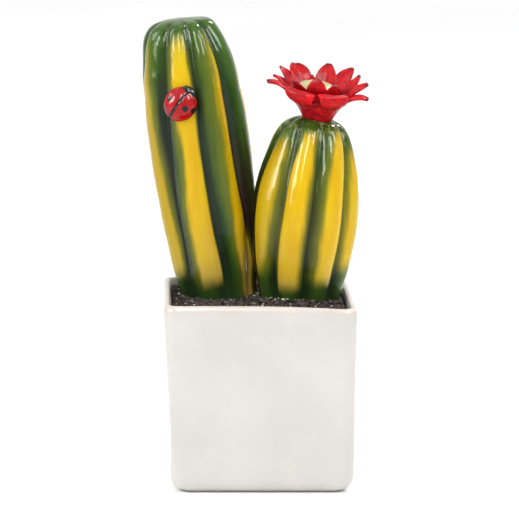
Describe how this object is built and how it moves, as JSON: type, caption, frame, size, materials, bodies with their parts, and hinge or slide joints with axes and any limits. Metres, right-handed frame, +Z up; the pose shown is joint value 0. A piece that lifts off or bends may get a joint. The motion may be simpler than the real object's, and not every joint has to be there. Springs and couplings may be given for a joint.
{
  "type": "potted cactus ornament",
  "caption": "Glazed ceramic ornament: tall and short ribbed cacti in a square white pot of soil, the short one topped by a red flower, the tall one holding a ladybird.",
  "frame": {"origin": "centre of the flat underside of the pot, on the surface it stands on", "axes": "+Z up, out of the pot; -Y towards the front, the side with the ladybird; +X to the right seen from the front, towards the short cactus"},
  "size_m": [0.0973, 0.0822, 0.1989],
  "materials": {
    "white_glaze": "glossy off-white glaze",
    "plaster": "rough cast plaster",
    "soil": "loose dark grit with pale grains",
    "green_glaze": "glossy green glaze with painted yellow bands",
    "red_glaze": "glossy red glaze, darker at the petal tips",
    "flower_centre": "pale green, satin",
    "ladybird_red": "glossy red with black spots",
    "ladybird_black": "glossy black"
  },
  "bodies": {
    "root": {"pot": "white_glaze", "filling_bed": "plaster", "soil": "soil", "tall_cactus": "green_glaze", "short_cactus": "green_glaze", "flower_cup": "red_glaze", "outer_petal_01": "red_glaze", "outer_petal_02": "red_glaze", "outer_petal_03": "red_glaze", "outer_petal_04": "red_glaze", "outer_petal_05": "red_glaze", "outer_petal_06": "red_glaze", "outer_petal_07": "red_glaze", "outer_petal_08": "red_glaze", "outer_petal_09": "red_glaze", "outer_petal_10": "red_glaze", "outer_petal_11": "red_glaze", "outer_petal_12": "red_glaze", "inner_petal_01": "red_glaze", "inner_petal_02": "red_glaze", "inner_petal_03": "red_glaze", "inner_petal_04": "red_glaze", "inner_petal_05": "red_glaze", "flower_centre": "flower_centre", "ladybird_body": "ladybird_red", "ladybird_head": "ladybird_black"}
  },
  "joints": []
}
